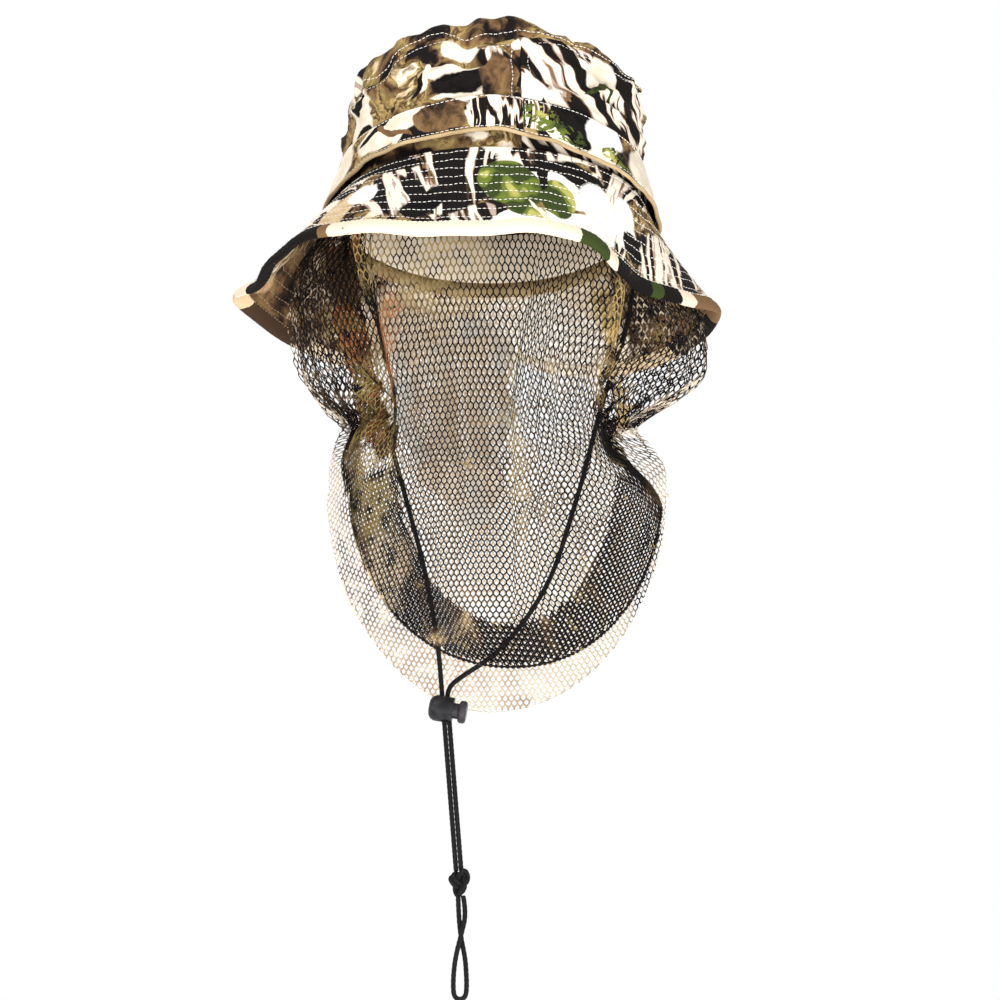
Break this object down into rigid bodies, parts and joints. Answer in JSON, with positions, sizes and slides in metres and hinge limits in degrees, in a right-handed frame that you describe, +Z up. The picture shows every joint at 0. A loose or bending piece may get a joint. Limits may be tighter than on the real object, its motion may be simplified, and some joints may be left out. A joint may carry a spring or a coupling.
{
  "type": "beekeeping veil",
  "caption": "Camouflage bucket hat with a stitched brim, a hanging insect net in front and rear bibs, and a chin cord with spring lock, knot and end loop.",
  "frame": {"origin": "centre of the head opening, on the seam between crown and brim", "axes": "+Z up through the crown, -Y towards the front of the hat, +X to the right of someone facing it"},
  "size_m": [0.2963, 0.2968, 0.6267],
  "materials": {
    "crown_cloth": "printed cotton twill, camouflage",
    "brim_cloth": "printed cotton twill, camouflage, rows of pale topstitching",
    "brim_underside": "printed cotton twill, camouflage",
    "interlining": "stiff woven interlining",
    "binding": "folded cotton twill, camouflage",
    "piping": "tan woven piping",
    "seam_tape": "woven twill tape",
    "sweatband": "tan twill band",
    "net": "warp-knitted hexagonal net, printed camouflage",
    "net_hem": "net doubled over and overlocked",
    "webbing": "narrow woven tape",
    "cord": "braided polyester",
    "lock_plastic": "moulded, fine satin grain",
    "plunger_plastic": "moulded, fine satin grain",
    "spring_steel": "drawn wire"
  },
  "bodies": {
    "hat": {"crown_tip": "crown_cloth", "crown_side_left": "crown_cloth", "crown_side_right": "crown_cloth", "tip_seam_tape": "seam_tape", "flap_left": "crown_cloth", "flap_right": "crown_cloth", "flap_piping": "piping", "sweatband": "sweatband", "brim_top_ply": "brim_cloth", "brim_stiffener": "interlining", "brim_bottom_ply": "brim_underside", "brim_binding": "binding", "veil_heading_tape": "seam_tape", "veil_upper_front": "net", "veil_upper_back": "net", "cord_tab_left": "webbing", "cord_tab_right": "webbing", "chin_cord_left": "cord", "chin_cord_right": "cord", "chin_cord_loop": "cord", "cord_knot": "cord"},
    "veil_skirt": {"veil_bib_front": "net", "veil_bib_back": "net", "veil_hem_front": "net_hem", "veil_hem_back": "net_hem"},
    "cord_lock": {"lock_barrel": "lock_plastic", "lock_spring": "spring_steel"},
    "plunger": {"lock_plunger": "plunger_plastic"}
  },
  "joints": [
    {"name": "veil_lift", "type": "slide", "parent": "hat", "child": "veil_skirt", "axis": [0, 0, 1], "range_m": [0, 0.1], "deforming": ["veil_upper_front", "veil_upper_back"]},
    {"name": "cord_lock_slide", "type": "slide", "parent": "hat", "child": "cord_lock", "axis": [0.076, 0, -0.9971], "range_m": [0, 0.095]},
    {"name": "plunger_press", "type": "slide", "parent": "cord_lock", "child": "plunger", "axis": [-0.9848, 0, 0.1736], "range_m": [0, 0.003], "stiffness_N_per_m": 300, "springref_m": -0.004, "deforming": ["lock_spring"]}
  ]
}
